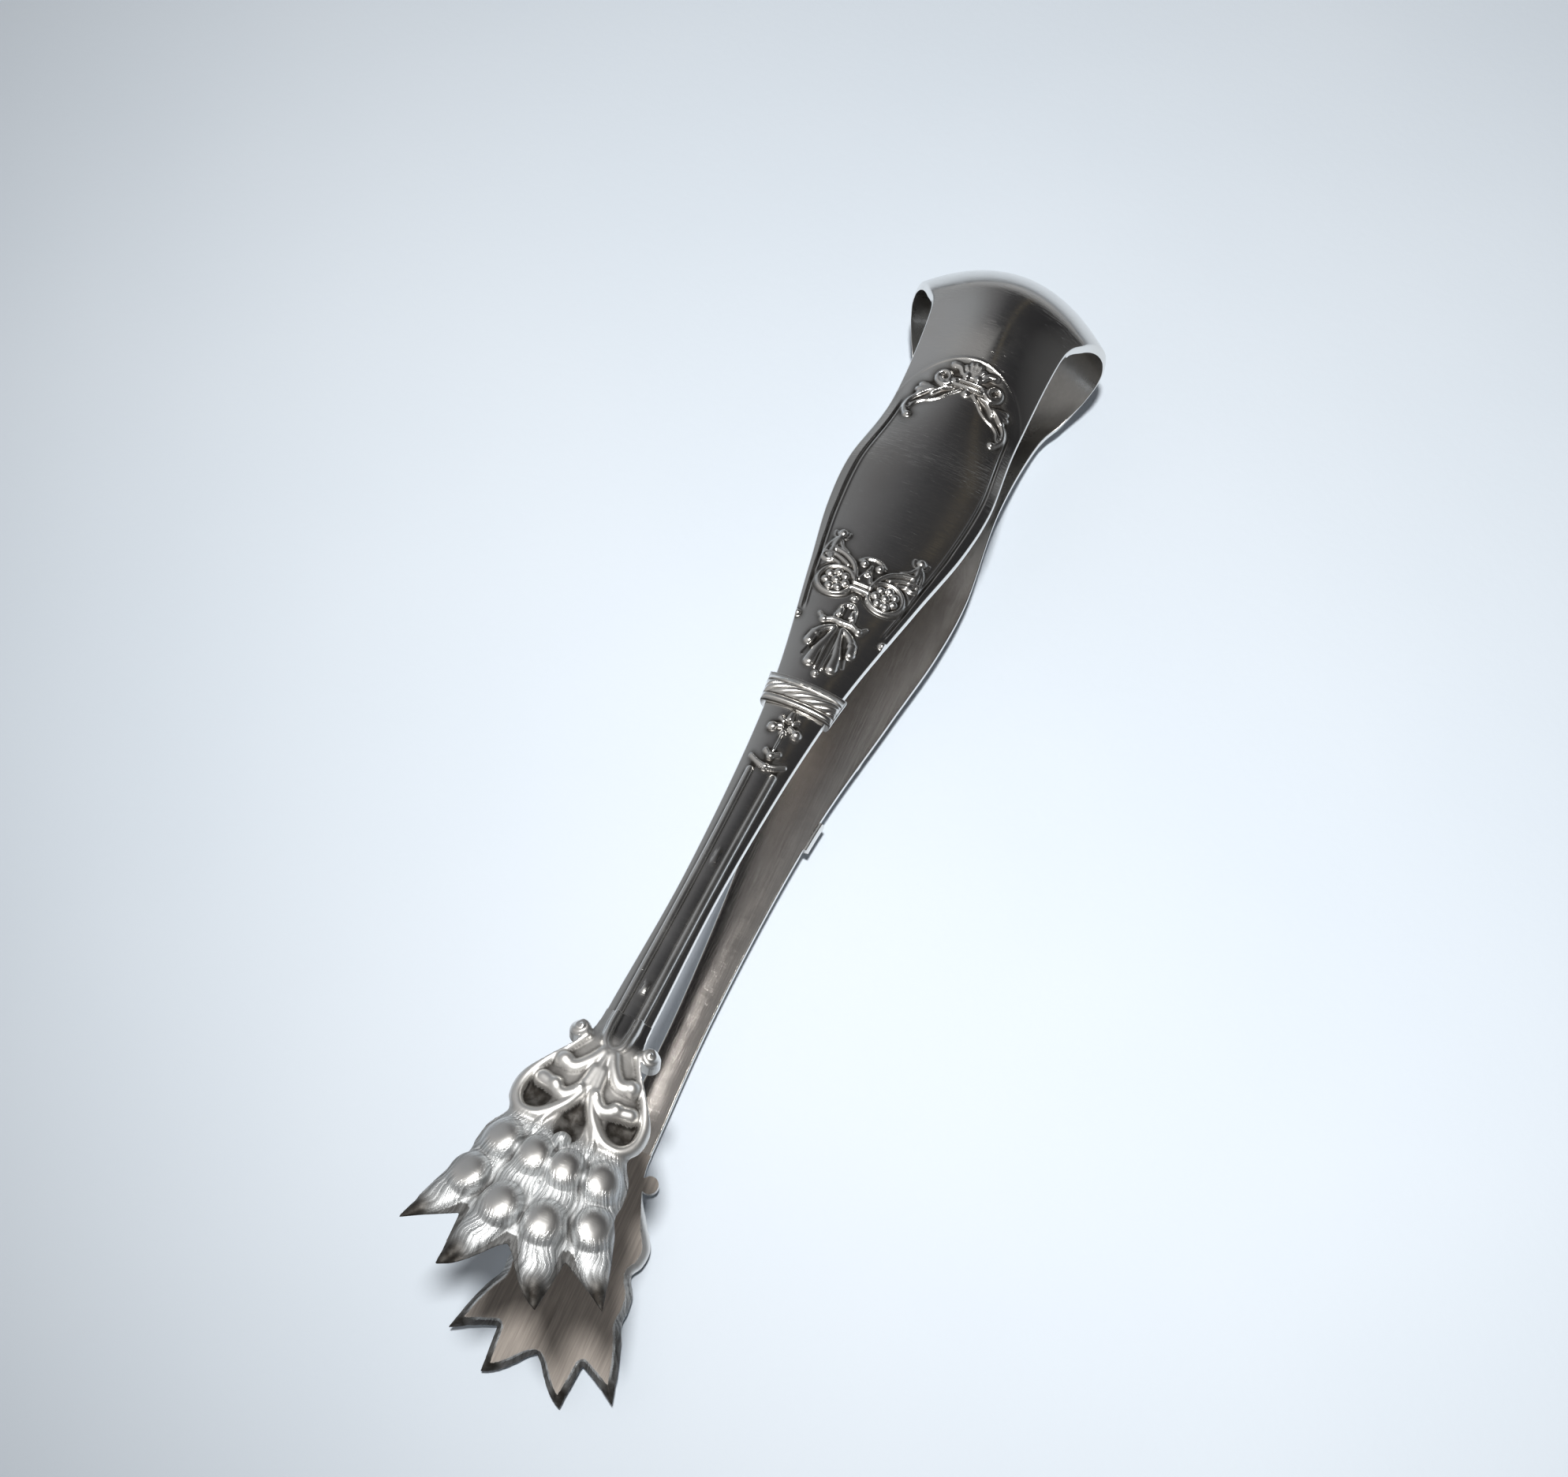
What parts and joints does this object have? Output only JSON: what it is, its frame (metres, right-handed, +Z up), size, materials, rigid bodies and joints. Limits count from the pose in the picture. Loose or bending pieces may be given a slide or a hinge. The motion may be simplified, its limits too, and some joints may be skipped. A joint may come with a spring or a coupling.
{
  "type": "sugar tongs",
  "caption": "Silver bow-type sugar tongs: a dished spring bow, struck arms with an oval handle panel and ribbed stem, moulded collars and lion-paw claws that close on a lump.",
  "frame": {"origin": "middle of the tongs' outline on the table they lie on", "axes": "+Y from the claws to the bow, +X across the arms, +Z up from the table, the way the arms lie one above the other"},
  "size_m": [0.0276, 0.1528, 0.0531],
  "materials": {
    "silver_polished": "polished silver with fine scratches",
    "silver_struck": "struck silver, polished field, darkened in the recesses",
    "silver_collar": "silver with dark tarnish between the strands",
    "silver_cast": "cast and chased silver, bright on the knuckles and satin inside"
  },
  "bodies": {
    "bow": {"bow_crown": "silver_polished"},
    "upper": {"upper_bow_limb": "silver_polished", "upper_arm": "silver_struck", "upper_collar": "silver_collar", "upper_paw": "silver_cast"},
    "lower": {"lower_bow_limb": "silver_polished", "lower_arm": "silver_struck", "lower_collar": "silver_collar", "lower_paw": "silver_cast"}
  },
  "joints": [
    {"name": "upper_flex", "type": "hinge", "parent": "bow", "child": "upper", "pos_m": [0, 0.06736, 0.01952], "axis": [1, 0, 0], "range_deg": [-2, 9], "stiffness_Nm_per_rad": 3},
    {"name": "lower_flex", "type": "hinge", "parent": "bow", "child": "lower", "pos_m": [0, 0.06603, 0.00642], "axis": [-1, 0, 0], "range_deg": [-2, 9], "stiffness_Nm_per_rad": 3}
  ],
  "couplings": [
    {"joint": "lower_flex", "follows": "upper_flex", "ratio": 1}
  ]
}
